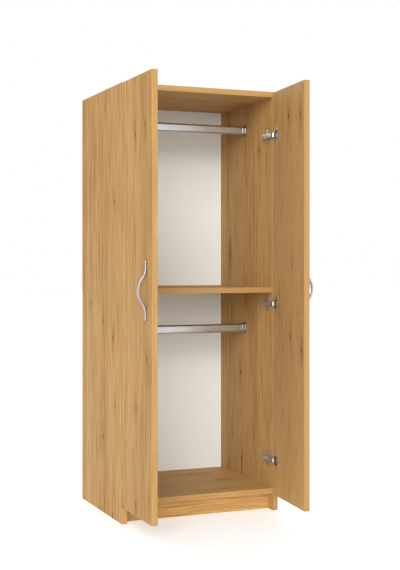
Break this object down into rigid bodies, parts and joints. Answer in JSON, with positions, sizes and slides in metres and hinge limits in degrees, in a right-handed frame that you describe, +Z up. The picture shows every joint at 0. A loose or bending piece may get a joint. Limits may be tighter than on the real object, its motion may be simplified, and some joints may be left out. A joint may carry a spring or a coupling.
{
  "type": "two-door wardrobe",
  "caption": "Narrow freestanding wardrobe with a full-height pair of hinged doors standing open, a middle shelf and oval rails for hanging clothes above and below it.",
  "frame": {"origin": "on the floor under the middle of the plinth board, midway between the sides", "axes": "+Z up, -Y the way the doors face, +X towards the right-hand side seen from the front"},
  "size_m": [0.5883, 0.712, 1.4],
  "materials": {
    "oak_board": "satin wood-decor foil on chipboard",
    "oak_edging": "satin wood-decor edging strip, a little lighter than the boards",
    "white_back": "smooth matt white foil on thin fibreboard",
    "rail_chrome": "polished",
    "socket_metal": "polished",
    "hinge_nickel": "nickel plated",
    "handle_satin": "satin",
    "fastener_steel": "zinc plated",
    "cam_zinc": "cast zinc",
    "beech": "raw",
    "clear_bumper": "soft translucent"
  },
  "bodies": {
    "carcass": {"back_panel": "white_back", "back_panel_screws": "fastener_steel", "bottom_panel": "oak_board", "bottom_panel_edging": "oak_edging", "cam_bolts": "fastener_steel", "cam_locks": "cam_zinc", "hinge_arm_screws": "fastener_steel", "hinge_plate_screws": "fastener_steel", "left_bottom_hinge_arm": "hinge_nickel", "left_bottom_hinge_plate": "hinge_nickel", "left_middle_hinge_arm": "hinge_nickel", "left_middle_hinge_plate": "hinge_nickel", "left_side_edging": "oak_edging", "left_side_panel": "oak_board", "left_top_hinge_arm": "hinge_nickel", "left_top_hinge_plate": "hinge_nickel", "lower_hanging_rail": "rail_chrome", "lower_left_rail_socket": "socket_metal", "lower_right_rail_socket": "socket_metal", "middle_shelf": "oak_board", "middle_shelf_edging": "oak_edging", "plinth_board": "oak_board", "rail_socket_screws": "fastener_steel", "right_bottom_hinge_arm": "hinge_nickel", "right_bottom_hinge_plate": "hinge_nickel", "right_middle_hinge_arm": "hinge_nickel", "right_middle_hinge_plate": "hinge_nickel", "right_side_edging": "oak_edging", "right_side_panel": "oak_board", "right_top_hinge_arm": "hinge_nickel", "right_top_hinge_plate": "hinge_nickel", "top_panel": "oak_board", "top_panel_edging": "oak_edging", "upper_hanging_rail": "rail_chrome", "upper_left_rail_socket": "socket_metal", "upper_right_rail_socket": "socket_metal", "wood_dowels": "beech"},
    "left_door": {"left_bottom_hinge_cup": "hinge_nickel", "left_door": "oak_board", "left_door_bumpers": "clear_bumper", "left_door_edging": "oak_edging", "left_handle": "handle_satin", "left_handle_screws": "fastener_steel", "left_hinge_cup_screws": "fastener_steel", "left_hinge_pins": "fastener_steel", "left_middle_hinge_cup": "hinge_nickel", "left_top_hinge_cup": "hinge_nickel"},
    "right_door": {"right_bottom_hinge_cup": "hinge_nickel", "right_door": "oak_board", "right_door_bumpers": "clear_bumper", "right_door_edging": "oak_edging", "right_handle": "handle_satin", "right_handle_screws": "fastener_steel", "right_hinge_cup_screws": "fastener_steel", "right_hinge_pins": "fastener_steel", "right_middle_hinge_cup": "hinge_nickel", "right_top_hinge_cup": "hinge_nickel"}
  },
  "joints": [
    {"name": "left_door_hinge", "type": "hinge", "parent": "carcass", "child": "left_door", "pos_m": [-0.2665, -0.057, 0.7], "axis": [0, 0, 1], "range_deg": [-5, 90]},
    {"name": "right_door_hinge", "type": "hinge", "parent": "carcass", "child": "right_door", "pos_m": [0.2665, -0.057, 0.7], "axis": [0, 0, -1], "range_deg": [-11, 84]}
  ]
}
